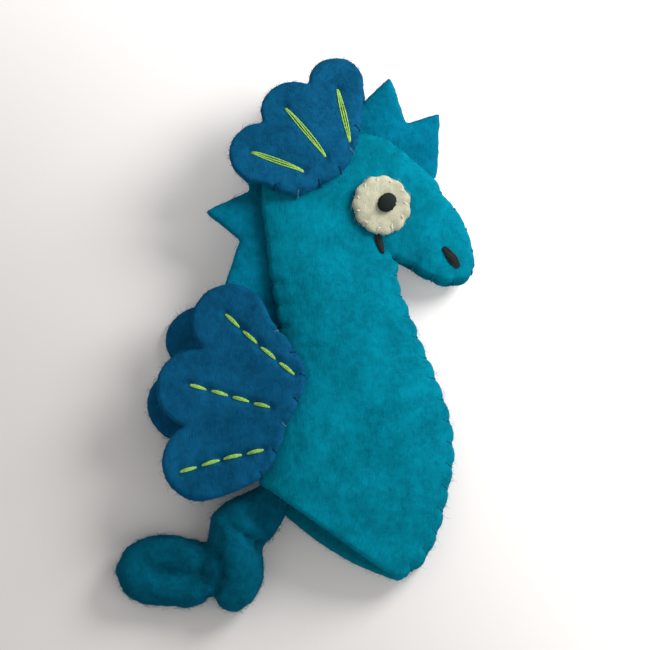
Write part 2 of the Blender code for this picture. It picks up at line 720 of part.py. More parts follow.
def build_face(body, panels):
    pieces = []
    for side, panel in zip((RIGHT, LEFT), panels):
        prefix = side_name(side)
        skin = outer_face(panel, side)

        def eye_inner(x, y):
            return body.outer(x, y, side) + side * CLEAR

        def eye_outer(x, y):
            return eye_inner(x, y) + side * EYE_FELT

        under, over = [eye_inner, eye_outer][::side]
        eye = felt_material(f"{prefix}_eye", CREAM, FELT_ROUGH)
        pieces.append(felt_sheet(f"{prefix}_eye", eye_outline(), under, over, EYE_CELL, eye))
        pupil = felt_material(f"{prefix}_pupil", BLACK, THREAD_ROUGH)
        pieces.append(knot(f"{prefix}_pupil", outer_face(pieces[-1], side), side, pupil))
        for name, line, width in (("nostril", NOSTRIL, NOSTRIL_WIDTH),
                                  ("throat_stitch", THROAT_STITCH, THROAT_STITCH_WIDTH)):
            ends = [Vector(p) for p in in_metres(line)]
            thread = felt_material(f"{prefix}_{name}", BLACK, THREAD_ROUGH)
            pieces.append(thread_stitch(f"{prefix}_{name}", ends, width, BLACK_THREAD_HEIGHT,
                                        skin, side, thread))
    return pieces


def stand_on_origin(pieces):
    """Hangs every piece on one empty, which puts the box's bottom centre at the origin."""
    corners = []
    for piece in pieces:
        corners += [Vector(corner) + piece.location for corner in piece.bound_box]
    table = np.array(corners)
    middle = (table.min(axis=0) + table.max(axis=0)) / 2
    puppet = bpy.data.objects.new("puppet", None)
    puppet.location = (-middle[0], -middle[1], -table[:, 2].min())
    bpy.context.scene.collection.objects.link(puppet)
    for piece in pieces:
        piece.parent = puppet


def main():
    clear_scene()
    body = Body()
    panels = build_panels(body)
    pieces = panels + build_crest(body)
    pieces += build_fins(body)
    pieces += build_face(body, panels)
    pieces.append(tail_piece(body, felt_material("tail", TAIL_TEAL, FELT_ROUGH)))
    stand_on_origin(pieces)


main()
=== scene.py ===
import math
import random

import bmesh
import bpy
import numpy as np
from mathutils import Matrix, Vector, noise
from mathutils.bvhtree import BVHTree


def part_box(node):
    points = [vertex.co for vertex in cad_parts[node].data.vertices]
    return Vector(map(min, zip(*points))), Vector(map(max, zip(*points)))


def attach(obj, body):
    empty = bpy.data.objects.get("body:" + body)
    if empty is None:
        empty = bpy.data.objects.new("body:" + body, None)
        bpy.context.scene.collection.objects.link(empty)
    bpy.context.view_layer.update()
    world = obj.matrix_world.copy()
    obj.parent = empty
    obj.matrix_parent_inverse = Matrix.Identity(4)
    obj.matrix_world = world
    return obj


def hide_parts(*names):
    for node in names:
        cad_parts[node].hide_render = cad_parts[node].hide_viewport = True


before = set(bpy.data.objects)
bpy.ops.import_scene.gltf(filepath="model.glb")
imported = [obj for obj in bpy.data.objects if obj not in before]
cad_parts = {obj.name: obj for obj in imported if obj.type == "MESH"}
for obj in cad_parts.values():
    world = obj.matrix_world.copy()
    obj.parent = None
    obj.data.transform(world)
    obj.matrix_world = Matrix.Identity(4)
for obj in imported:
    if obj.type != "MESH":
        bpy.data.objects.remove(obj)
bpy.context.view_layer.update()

scene = bpy.context.scene
scene.view_settings.view_transform = "Standard"
sideUp = {"right": 1, "left": -1}   # the puppet lies on its left side
print("frame loaded:", len(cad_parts), "nodes")


# Small helpers

probe = {"above": 0.1, "beside": 0.004}   # how far off a line that looks for the felt starts


def nodeOn(side, part):
    return ("right_" if side > 0 else "left_") + part


def mergedCopy(nodeName):
    shape = bmesh.new()
    shape.from_mesh(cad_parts[nodeName].data)
    bmesh.ops.remove_doubles(shape, verts=shape.verts, dist=1e-6)
    return shape


def treeOf(nodeName):
    shape = mergedCopy(nodeName)
    tree = BVHTree.FromBMesh(shape)
    shape.free()
    return tree


def faceHeight(tree, x, y, side):
    # where a vertical line from outside meets the face on that side, or None
    hit = tree.ray_cast(Vector((x, y, probe["above"] * side)), Vector((0.0, 0.0, -side)))[0]
    return None if hit is None else hit.z


def flat(point):
    return Vector((point[0], point[1]))


def finishPiece(piece, nodes):
    scene.collection.objects.link(piece)
    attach(piece, "root")
    if nodes:
        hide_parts(*nodes)


# Outlines of the sheets, read from the solids

def outlineOf(nodeName):
    # the points round a sheet's cut edge, anticlockwise from above
    shape = mergedCopy(nodeName)
    shape.normal_update()
    rim = {}
    for edge in shape.edges:
        first, second = edge.link_faces
        if first.normal.z * second.normal.z < 0.0:
            a, b = edge.verts
            rim.setdefault(a, []).append(b)
            rim.setdefault(b, []).append(a)
    start = max(rim, key=lambda corner: corner.co.x)
    loop = [start]
    before, here = None, start
    while True:
        ahead = [corner for corner in rim[here] if corner is not before]
        before, here = here, ahead[0]
        if here is start:
            break
        loop.append(here)
    points = [corner.co.copy() for corner in loop]
    shape.free()
    return points if outlineArea(points) > 0.0 else points[::-1]


def outlineArea(loop):
    return 0.5 * sum(a.x * b.y - b.x * a.y for a, b in zip(loop, loop[1:] + loop[:1]))


def outwardAt(loop, index):
    after = flat(loop[(index + 1) % len(loop)])
    along = (after - flat(loop[index - 1])).normalized()
    return Vector((along.y, -along.x)), along


def nearestIndex(loop, place):
    return min(range(len(loop)), key=lambda i: (flat(loop[i]) - Vector(place)).length)


# Materials

colourBlend = {"first": 6, "second": 7, "result": 2}   # a mix node's sockets for colours


def putIn(tree, socket, value):
    # a constant is set on the socket, and anything else is linked to it
    if isinstance(value, (float, tuple)):
        socket.default_value = value
    else:
        tree.links.new(value, socket)


def noiseNode(tree, vector, scale, detail, roughness=0.6, distortion=0.0):
    node = tree.nodes.new("ShaderNodeTexNoise")
    node.inputs["Scale"].default_value = scale
    node.inputs["Detail"].default_value = detail
    node.inputs["Roughness"].default_value = roughness
    node.inputs["Distortion"].default_value = distortion
    tree.links.new(vector, node.inputs["Vector"])
    return node.outputs["Fac"]


def mathNode(tree, operation, first, second):
    node = tree.nodes.new("ShaderNodeMath")
    node.operation = operation
    putIn(tree, node.inputs[0], first)
    putIn(tree, node.inputs[1], second)
    return node.outputs[0]


def rampNode(tree, value, low, high):
    node = tree.nodes.new("ShaderNodeMapRange")
    node.interpolation_type = "SMOOTHSTEP"
    node.inputs["From Min"].default_value = low
    node.inputs["From Max"].default_value = high
    tree.links.new(value, node.inputs["Value"])
    return node.outputs["Result"]


def toneNode(tree, value, low, high, share):
    return mathNode(tree, "MULTIPLY", rampNode(tree, value, low, high), share)


def blendNode(tree, factor, first, second):
    node = tree.nodes.new("ShaderNodeMix")
    node.data_type = "RGBA"
    tree.links.new(factor, node.inputs["Factor"])
    putIn(tree, node.inputs[colourBlend["first"]], first)
    putIn(tree, node.inputs[colourBlend["second"]], second)
    return node.outputs[colourBlend["result"]]


def shadeGroup(name, outputs):
    # a node group that takes a deep and a pale shade of one colour
    group = bpy.data.node_groups.new(name, "ShaderNodeTree")
    for shade in ("Deep", "Pale"):
        group.interface.new_socket(shade, in_out="INPUT", socket_type="NodeSocketColor")
    for output, kind in outputs.items():
        group.interface.new_socket(output, in_out="OUTPUT", socket_type=kind)
    place = group.nodes.new("ShaderNodeTexCoord").outputs["Object"]
    return group, group.nodes.new("NodeGroupInput"), group.nodes.new("NodeGroupOutput"), place


feltLook = {
    # scale, detail, roughness and distortion of each noise
    "patch": (120.0, 2.0),               # cloudy tone, about 10 mm
    "tuft": (520.0, 3.0, 0.65, 0.4),     # about 2 mm
    "fibre": (5200.0, 2.0, 0.5, 0.6),
    "fibreStretch": 620.0 / 5200.0,      # fibres are thin one way and long the other
    "fibreTilts": (0.3, 0.2),
    "fibreTurns": (0.4, 1.5, 2.6),
    # where each noise goes from deep to pale, and its share of the tone
    "patchTone": (0.36, 0.64, 0.36),
    "tuftTone": (0.36, 0.66, 0.34),
    "fibreTone": (0.45, 0.78, 0.30),
    "tuftHeight": 0.7,
    "bump": 0.55,
    "bumpDepth": 0.00022,
    "roughness": 0.95,
    "gloss": 0.02,
    "sheen": 0.05,
    "sheenRoughness": 0.6,
    "sheenGain": 2.2,                    # how much paler the sheen is than the wool
    "shades": (0.70, 1.32),              # the deep and the pale shade, times the colour
}


def feltGroup():
    # matted wool: cloudy tone, tufts and crossing fibres
    group, entry, leave, place = shadeGroup(
        "mattedWool", {"Color": "NodeSocketColor", "Height": "NodeSocketFloat"})
    patch = noiseNode(group, place, *feltLook["patch"])
    tuft = noiseNode(group, place, *feltLook["tuft"])
    tilt, lean = feltLook["fibreTilts"]
    fibres = None
    for turn in feltLook["fibreTurns"]:
        lay = group.nodes.new("ShaderNodeMapping")
        lay.inputs["Rotation"].default_value = (tilt * turn, lean, turn)
        lay.inputs["Scale"].default_value = (1.0, feltLook["fibreStretch"], 1.0)
        group.links.new(place, lay.inputs["Vector"])
        one = noiseNode(group, lay.outputs["Vector"], *feltLook["fibre"])
        fibres = one if fibres is None else mathNode(group, "MAXIMUM", fibres, one)
    hair = toneNode(group, fibres, *feltLook["fibreTone"])
    tone = mathNode(group, "ADD", toneNode(group, patch, *feltLook["patchTone"]),
                    toneNode(group, tuft, *feltLook["tuftTone"]))
    tone = mathNode(group, "ADD", tone, hair)
    colour = blendNode(group, tone, entry.outputs["Deep"], entry.outputs["Pale"])
    height = mathNode(group, "ADD", mathNode(group, "MULTIPLY", tuft, feltLook["tuftHeight"]), hair)
    group.links.new(colour, leave.inputs["Color"])
    group.links.new(height, leave.inputs["Height"])
    return group


threadLook = {
    "grain": (2600.0, 3.0),
    "grainTone": (0.3, 0.7),
    "roughness": 0.68,
    "shades": (0.78, 1.24),
    "shine": {"lime": 0.30, "black": 0.20, "cream": 0.15},
    "plainShine": 0.05,
    "fibreShades": (0.95, 1.45),
    "plies": 2,
    "upright": (0.31, 0.17, 0.93),       # no thread runs along this direction
    "taper": 0.75,                       # a loose fibre's tip is thinner by this share
}


def threadGroup():
    # spun thread: fine light and dark fibres
    group, entry, leave, place = shadeGroup("spunThread", {"Color": "NodeSocketColor"})
    grain = rampNode(group, noiseNode(group, place, *threadLook["grain"]), *threadLook["grainTone"])
    colour = blendNode(group, grain, entry.outputs["Deep"], entry.outputs["Pale"])
    group.links.new(colour, leave.inputs["Color"])
    return group


mattedWool = feltGroup()
spunThread = threadGroup()


def shadedMaterial(name, group, colour, shades, roughness, shine):
    material = bpy.data.materials.new(name)
    material.use_nodes = True
    tree = material.node_tree
    shader = tree.nodes["Principled BSDF"]
    tone = tree.nodes.new("ShaderNodeGroup")
    tone.node_tree = group
    for socket, share in zip((tone.inputs["Deep"], tone.inputs["Pale"]), shades):
        socket.default_value = (*(c * share for c in colour), 1.0)
    tree.links.new(tone.outputs["Color"], shader.inputs["Base Color"])
    shader.inputs["Roughness"].default_value = roughness
    shader.inputs["Specular IOR Level"].default_value = shine
    return material


def feltMaterial(name, colour):
    material = shadedMaterial(name, mattedWool, colour, feltLook["shades"], feltLook["roughness"],
                              feltLook["gloss"])
    tree = material.node_tree
    shader = tree.nodes["Principled BSDF"]
    bump = tree.nodes.new("ShaderNodeBump")
    bump.inputs["Strength"].default_value = feltLook["bump"]
    bump.inputs["Distance"].default_value = feltLook["bumpDepth"]
    tree.links.new(tree.nodes["Group"].outputs["Height"], bump.inputs["Height"])
    tree.links.new(bump.outputs["Normal"], shader.inputs["Normal"])
    tint = (min(1.0, feltLook["sheenGain"] * c) for c in colour)
    shader.inputs["Sheen Weight"].default_value = feltLook["sheen"]
    shader.inputs["Sheen Roughness"].default_value = feltLook["sheenRoughness"]
    shader.inputs["Sheen Tint"].default_value = (*tint, 1.0)
    return material


def threadMaterial(name, colour, shades, shine):
    return shadedMaterial(name, spunThread, colour, shades, threadLook["roughness"], shine)


woolColours = {
    "turquoise": (0.0006, 0.209, 0.300),
    "crest": (0.0008, 0.172, 0.282),
    "blue": (0.0042, 0.096, 0.210),
    # deeper felt than the body's, darkened further as painted shade for the rolled coil's folds
    "tail": (0.0008, 0.103, 0.170),
    "cream": (0.56, 0.55, 0.40),
}
threadColours = {
    "lime": (0.35, 0.63, 0.105),
    "black": (0.008, 0.012, 0.012),
    "turquoise": (0.0005, 0.185, 0.280),
    "blue": (0.002, 0.038, 0.095),
    "paleBlue": (0.06, 0.19, 0.29),
    "cream": (0.72, 0.69, 0.56),
}
felts = {}
fuzzes = {}
for woolName, colour in woolColours.items():
    felts[woolName] = feltMaterial(woolName + "Felt", colour)
    fuzzes[woolName] = threadMaterial(woolName + "Fibre", colour, threadLook["fibreShades"],
                                      threadLook["plainShine"])
threads = {}
for threadName, colour in threadColours.items():
    shine = threadLook["shine"].get(threadName, threadLook["plainShine"])
    threads[threadName] = threadMaterial(threadName + "Thread", colour, threadLook["shades"], shine)
print("materials made")


# Felt pieces: a copy of the solid, meshed finely, its facets smoothed out, then dented by
# the stitches and roughened as wool is

feltWork = {
    "voxel": 0.00036,
    "edgeSteps": 4,          # rounds the cut edge
    "edgeShare": 0.5,
    "facetCell": 0.0010,     # grid on which the facets are blurred
    "facetReach": 2,
    "facetPasses": 3,
    "facetMargin": 8,        # empty cells round the piece
    "relief": (              # size, depth and place in the noise: swells, lumps, tufts, nap
        (0.017, 0.00034, 5.0),
        (0.0065, 0.00018, 0.0),
        (0.0016, 0.00007, 11.0),
        (0.0007, 0.00004, 23.0),
    ),
    "beadSpan": 1.77,        # dents this many reaches apart, in a row, add up to one depth
    "floor": 0.00002,        # nothing goes under the floor
}


def evenMesh(shape, name):
    rough = bpy.data.meshes.new(name + "Rough")
    shape.to_mesh(rough)
    holder = bpy.data.objects.new(name + "Rough", rough)
    scene.collection.objects.link(holder)
    step = holder.modifiers.new("even", "REMESH")
    step.mode = "VOXEL"
    step.voxel_size = feltWork["voxel"]
    graph = bpy.context.evaluated_depsgraph_get()
    mesh = bpy.data.meshes.new_from_object(holder.evaluated_get(graph))
    bpy.data.objects.remove(holder)
    bpy.data.meshes.remove(rough)
    mesh.name = name
    return mesh


def boxBlur(table):
    reach = feltWork["facetReach"]
    for turn in range(feltWork["facetPasses"]):
        for axis in (0, 1):
            shifted = [np.roll(table, step, axis) for step in range(-reach, reach + 1)]
            table = sum(shifted) / (2 * reach + 1)
    return table


def facetShift(tree, low, high):
    # how far a blurred middle surface lies from the solid's, on an even grid
    cell = feltWork["facetCell"]
    margin = feltWork["facetMargin"]
    columns = int((high[0] - low[0]) / cell) + 2 * margin
    rows = int((high[1] - low[1]) / cell) + 2 * margin
    heights = np.zeros((columns, rows))
    inside = np.zeros((columns, rows))
    for i in range(columns):
        for j in range(rows):
            x = low[0] + (i - margin) * cell
            y = low[1] + (j - margin) * cell
            top = faceHeight(tree, x, y, 1)
            if top is not None:
                heights[i, j] = 0.5 * (top + faceHeight(tree, x, y, -1))
                inside[i, j] = 1.0
    share = boxBlur(inside)
    blurred = boxBlur(heights) / np.maximum(share, 1e-6)
    shift = (blurred - heights) * inside * np.clip(2.0 * share - 1.0, 0.0, 1.0)
    origin = np.array((low[0] - margin * cell, low[1] - margin * cell))
    return shift, origin


def readGrid(table, origin, places):
    spots = (places[:, :2] - origin) / feltWork["facetCell"]
    spots = np.clip(spots, 0.0, np.array(table.shape) - 1.001)
    base = spots.astype(int)
    part = spots - base
    i, j = base[:, 0], base[:, 1]
    u, v = part[:, 0], part[:, 1]
    low = table[i, j] * (1 - u) + table[i + 1, j] * u
    high = table[i, j + 1] * (1 - u) + table[i + 1, j + 1] * u
    return low * (1 - v) + high * v


def woolRelief(places):
    relief = np.zeros(len(places))
    for size, depth, seed in feltWork["relief"]:
        scale = 1.0 / size
        offset = Vector((seed, seed, seed))
        relief += depth * np.array([noise.noise(Vector(p) * scale + offset) for p in places])
    return relief


def meshArrays(mesh):
    places = np.empty(len(mesh.vertices) * 3)
    normals = np.empty(len(mesh.vertices) * 3)
    mesh.vertices.foreach_get("co", places)
    mesh.vertices.foreach_get("normal", normals)
    return places.reshape(-1, 3), normals.reshape(-1, 3)


def feltPiece(nodeName, pieceName, wool, slotName, dents, swell, isSheet=True, lump=1.0,
              steps=feltWork["edgeSteps"], moves=()):
    shape = mergedCopy(nodeName)
    coarse = BVHTree.FromBMesh(shape)
    shape.normal_update()
    for corner in shape.verts:
        push = Vector((corner.normal.x, corner.normal.y, 0.0)) if isSheet else corner.normal
        corner.co += push * swell   # makes up for what the smoothing and the dents take off
    mesh = evenMesh(shape, pieceName)
    shape.free()
    fine = bmesh.new()
    fine.from_mesh(mesh)
    for step in range(steps):
        bmesh.ops.smooth_vert(fine, verts=fine.verts, factor=feltWork["edgeShare"],
                              use_axis_x=True, use_axis_y=True, use_axis_z=True)
    bmesh.ops.recalc_face_normals(fine, faces=fine.faces)
    fine.to_mesh(mesh)
    fine.free()
    places, normals = meshArrays(mesh)
    if isSheet:
        shift, origin = facetShift(coarse, places.min(axis=0), places.max(axis=0))
        places[:, 2] += readGrid(shift, origin, places)
    sunk = woolRelief(places) * lump
    for centre, reach, depth in dents:
        apart = ((places - np.array(centre))**2).sum(axis=1)
        sunk -= depth * np.exp(-apart / reach**2)
    places += normals * sunk[:, None]
    for centre, reach, move in moves:
        apart = ((places[:, :2] - np.array(centre))**2).sum(axis=1)
        places += np.array(move) * np.exp(-apart / reach**2)[:, None]
    places[:, 2] = np.maximum(places[:, 2], feltWork["floor"])
    mesh.vertices.foreach_set("co", places.ravel())
    mesh.update()
    mesh.shade_smooth()
    mesh.materials.clear()
    mesh.materials.append(felts[wool])
    piece = bpy.data.objects.new(pieceName, mesh)
    finishPiece(piece, [nodeName])
    print(pieceName, len(mesh.polygons), "faces")
    return piece


# Threads: every thread is a bundle of thin tubes along a smooth path

def smoothPath(points, perSpan=5):
    knots = [Vector(p) for p in points]
    knots = [2 * knots[0] - knots[1], *knots, 2 * knots[-1] - knots[-2]]
    path = []
    for a, b, c, d in zip(knots, knots[1:], knots[2:], knots[3:]):
        for step in range(perSpan):
            t = step / perSpan
            path.append(0.5 * (2 * b + (c - a) * t + (2 * a - 5 * b + 4 * c - d) * t**2
                               + (3 * b - a - 3 * c + d) * t**3))
    path.append(knots[-2])
    return path


def twisted(path, look, phase):
    # the plies of a spun thread, round the path
    plies = threadLook["plies"]
    bundle = [[] for ply in range(plies)]
    travelled = 0.0
    for i, point in enumerate(path):
        along = (path[min(i + 1, len(path) - 1)] - path[max(i - 1, 0)]).normalized()
        across = along.cross(Vector(threadLook["upright"])).normalized()
        rise = along.cross(across)
        if i:
            travelled += (point - path[i - 1]).length
        for ply in range(plies):
            angle = phase + 2.0 * math.pi * (travelled / look["pitch"] + ply / plies)
            turned = across * math.cos(angle) + rise * math.sin(angle)
            bundle[ply].append(point + turned * look["ply"])
    return bundle


def tubePiece(name, paths, radius, material, nodes=(), sides=2, taper=False):
    curve = bpy.data.curves.new(name, "CURVE")
    curve.dimensions = "3D"
    curve.bevel_depth = radius
    curve.bevel_resolution = sides
    curve.use_fill_caps = True
    curve.materials.append(material)
    for path in paths:
        line = curve.splines.new("POLY")
        line.points.add(len(path) - 1)
        for i, point in enumerate(path):
            line.points[i].co = (point.x, point.y, max(point.z, radius + feltWork["floor"]), 1.0)
            if taper:
                line.points[i].radius = 1.0 - threadLook["taper"] * i / (len(path) - 1)
    finishPiece(bpy.data.objects.new(name, curve), nodes)


# Where the stitches go, from the outlines

panelLoop = outlineOf("right_panel")
finNames = ("ear", "back")
coarseTrees = {name: treeOf(name) for name in
               (nodeOn(side, part) for side in sideUp.values()
                for part in ("panel", "ear_fin", "back_fin", "eye"))}

seam = {
    "throat": (0.0174, 0.0133),
    "hemFront": (0.0187, -0.0503),
    "hemBack": (-0.0077, -0.0327),
    "every": 4,              # outline points from one stitch to the next
    "inset": 0.0012,
    "lean": 0.0005,          # a whip stitch slants this far along the seam
    "radius": 0.00012,
    "ply": 0.00009,
    "pitch": 0.0012,
    "dentReach": 0.00080,
    "dentDepth": 0.00062,
    "edgeDepth": 0.00052,
    "dentPast": 0.0002,      # the dents go on this far past the edge
    "proud": -0.00010,
    "rimInset": 0.0009,
    "rimLean": 0.4,
    "wallDrop": 0.0009,      # from the rim down the cut edge
    "wallProud": 0.00008,
    "tuck": 0.0007,          # the end goes this deep into the felt
    "plainPath": 4,          # points of a half that doesn't end on the crest
    "crestLook": 0.0008,
    "crestReach": 0.0004,
    "crestSink": 0.0003,
    "headStarts": 0.004,     # along Y; the head is sewn less tightly
    "headFade": 0.010,
    "headShare": 0.35,
    "headSink": 0.00020,     # the thread lies deeper there
}


def grooveDents(tree, start, end, side, reach, startDepth, endDepth, beads=5):
    # a row of dents that makes one groove; beyond the edge it keeps the last height
    dents = []
    height = None
    gap = (end - start).length / (beads - 1)
    overlap = min(1.0, gap / (reach * feltWork["beadSpan"]))
    for bead in range(beads):
        share = bead / (beads - 1)
        spot = start.lerp(end, share)
        height = faceHeight(tree, spot.x, spot.y, side) or height
        if height is not None:
            depth = startDepth + (endDepth - startDepth) * share
            dents.append(((spot.x, spot.y, height), reach, depth * overlap))
    return dents


def seamStations():
    throat = nearestIndex(panelLoop, seam["throat"])
    hemFront = nearestIndex(panelLoop, seam["hemFront"])
    hemBack = nearestIndex(panelLoop, seam["hemBack"])
    count = len(panelLoop)
    stations = []
    for start, end in ((throat, hemFront), (hemBack, throat)):
        steps = (start - end) % count
        for k in range(seam["every"], steps, seam["every"]):
            stations.append((start - k) % count)
    return stations


def underFin(x, y, side):
    # true where a fin covers the panel
    trees = (coarseTrees[nodeOn(side, f"{fin}_fin")] for fin in finNames)
    return any(faceHeight(tree, x, y, side) is not None for tree in trees)


def seamPlaces():
    # for each whip stitch: its place in the seam, outward and along directions
    places = []
    for index in seamStations():
        outward, along = outwardAt(panelLoop, index)
        places.append((flat(panelLoop[index]), outward, along))
    return places


seamStitches = seamPlaces()


def onHead(spot):
    return min(1.0, max(0.0, (spot.y - seam["headStarts"]) / seam["headFade"]))


def seamDents(side):
    panel = coarseTrees[nodeOn(side, "panel")]
    dents = []
    for spot, outward, along in seamStitches:
        inner = spot - outward * seam["inset"] + along * seam["lean"] * side
        if not underFin(inner.x, inner.y, side):
            share = 1.0 - onHead(spot) * (1.0 - seam["headShare"])
            dents += grooveDents(panel, inner, spot + outward * seam["dentPast"], side,
                                 seam["dentReach"], seam["dentDepth"] * share,
                                 seam["edgeDepth"] * share)
    return dents


finRoot = {
    "step": 0.0036,
    "panelMargin": 0.0022,   # stitches only where the panel goes on this far past the fin
    "inset": 0.0011,
    "reach": -0.0003,        # and where it lies right under the edge
    "lean": 0.0003,
    "rimInset": 0.0005,
    "sink": 0.00002,
    "sunk": 0.00009,         # the thread's depth in the cut edge
    "upperDrop": 0.0005,     # from the rim down the cut edge
    "lowerDrop": 0.0013,
    "tuck": 0.0007,
    "footIn": 0.0006,
    "footDown": 0.00021,
    "radius": 0.00012,
    "ply": 0.00009,
    "pitch": 0.0012,
    "dentReach": 0.00080,
    "dentDepth": 0.00060,
    "dentPast": 0.0002,
    "paleEvery": 3,          # now and then a stitch in a paler thread
}
finLoops = {name: outlineOf(name) for name in
            (f"{sideName}_{fin}_fin" for fin in finNames for sideName in sideUp)}


def finRootPlaces(finName, side):
    # evenly along the stretch of the fin's edge that lies well inside the panel
    panel = coarseTrees[nodeOn(side, "panel")]
    loop = finLoops[finName]
    places = []
    travelled = 0.0
    for i, point in enumerate(loop):
        travelled += (flat(point) - flat(loop[i - 1])).length
        outward, along = outwardAt(loop, i)
        beyond = flat(point) + outward * finRoot["panelMargin"]
        if faceHeight(panel, beyond.x, beyond.y, side) is None:
            continue
        if travelled >= finRoot["step"]:
            places.append((flat(point), outward, along))
            travelled = 0.0
    return places


finStitches = {name: finRootPlaces(name, sideUp[name.split("_")[0]]) for name in finLoops}


def finRootDents(finName, side):
    dents = []
    for spot, outward, along in finStitches[finName]:
        inner = spot - outward * finRoot["inset"] + along * finRoot["lean"]
        dents += grooveDents(coarseTrees[finName], inner, spot + outward * finRoot["dentPast"],
                             side, finRoot["dentReach"], finRoot["dentDepth"],
                             finRoot["dentDepth"])
    return dents


def stitchLine(nodeName):
    # both ends of a straight stitch, and its width, from its solid
    places = meshArrays(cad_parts[nodeName].data)[0]
    centre = places.mean(axis=0)
    spread = places[:, :2] - centre[:2]
    along = np.linalg.svd(spread, full_matrices=False)[2][0]
    reach = spread @ along
    across = spread @ np.array((-along[1], along[0]))
    start = centre[:2] + along * reach.min()
    end = centre[:2] + along * reach.max()
    return Vector(start), Vector(end), float(across.max() - across.min())


def stitchNodes(prefix):
    return sorted(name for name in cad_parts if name.startswith(prefix))


lime = {
    "strands": 3,
    "radius": 0.000135,
    "arch": 0.00010,
    "widen": {"ear": 0.95, "back": 0.72},
    "runOn": 0.0,
    "seed": 7,
    "endDentReach": 0.0008,
    "endDentDepth": 0.00045,
    "lineDentReach": 0.00085,
    "lineDentDepth": 0.00030,
    "lineDentEvery": 0.0007,
    "fewestBeads": 5,
}


def limeDents(finName, side):
    tree = coarseTrees[finName]
    dents = []
    for node in stitchNodes(finName.replace("_fin", "_stitch")):
        start, end, width = stitchLine(node)
        beads = max(lime["fewestBeads"], int((end - start).length / lime["lineDentEvery"]))
        dents += grooveDents(tree, start, end, side, lime["lineDentReach"], lime["lineDentDepth"],
                             lime["lineDentDepth"], beads)
        for spot in (start, end):
            height = faceHeight(tree, spot.x, spot.y, side)
            if height is not None:
                dents.append(((spot.x, spot.y, height), lime["endDentReach"],
                              lime["endDentDepth"]))
    return dents


eye = {
    "stitches": 11,
    "edgeInset": 0.00025,
    "inset": 0.0010,
    "rimInset": 0.0007,
    "reach": -0.0004,
    "lean": 0.00025,
    "sink": 0.00002,
    "wallSink": 0.00003,
    "tuck": 0.0006,
    "radius": 0.00013,
    "ply": 0.00010,
    "pitch": 0.0015,
    "dentReach": 0.00080,
    "dentDepth": 0.00038,
    "dentPast": 0.0004,
    "seed": 5,
    "pull": (0.45, 1.15),    # no two stitches are drawn equally tight
    "innerPull": 0.8,
    "edgePull": 1.2,
    "domeReach": 0.0034,
    "domeLift": 0.00045,     # the middle of the disc stands up a little
}


def eyeStations(side):
    low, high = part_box("right_eye" if side > 0 else "left_eye")
    centre = flat((low + high) / 2.0)
    radius = (high.x - low.x) / 2.0
    stations = []
    for k in range(eye["stitches"]):
        angle = 2.0 * math.pi * k / eye["stitches"]
        outward = Vector((math.cos(angle), math.sin(angle)))
        stations.append((centre + outward * (radius - eye["edgeInset"]), outward))
    return stations


def eyeDents(side):
    tree = coarseTrees[nodeOn(side, "eye")]
    dents = []
    draw = random.Random(eye["seed"] + side)
    for spot, outward in eyeStations(side):
        inner = spot - outward * eye["inset"]
        pull = eye["dentDepth"] * draw.uniform(*eye["pull"])
        dents += grooveDents(tree, inner, spot + outward * eye["dentPast"], side,
                             eye["dentReach"], pull * eye["innerPull"], pull * eye["edgePull"])
    low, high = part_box("right_eye" if side > 0 else "left_eye")
    middle = (low + high) / 2.0
    height = faceHeight(tree, middle.x, middle.y, side)
    dents.append(((middle.x, middle.y, height), eye["domeReach"], -eye["domeLift"]))
    return dents


satin = {
    "nostril": {"strands": 6, "radius": 0.00021, "arch": 0.00045, "widen": 1.15, "runOn": 0.0002,
                "seed": 70, "dentReach": 0.0013, "dentDepth": 0.00035},
    "throat_stitch": {"strands": 6, "radius": 0.00020, "arch": 0.00040, "widen": 1.0,
                      "runOn": 0.0010, "seed": 71, "dentReach": 0.0013, "dentDepth": 0.00055},
}


def satinDents(side, part):
    # a satin stitch draws in the felt under it
    tree = coarseTrees[nodeOn(side, "panel")]
    start, end, width = stitchLine(nodeOn(side, part))
    dents = []
    for share in (0.0, 0.5, 1.0):
        spot = start.lerp(end, share)
        height = faceHeight(tree, spot.x, spot.y, side)
        if height is not None:
            dents.append(((spot.x, spot.y, height), satin[part]["dentReach"],
                          satin[part]["dentDepth"]))
    return dents


# The felt pieces

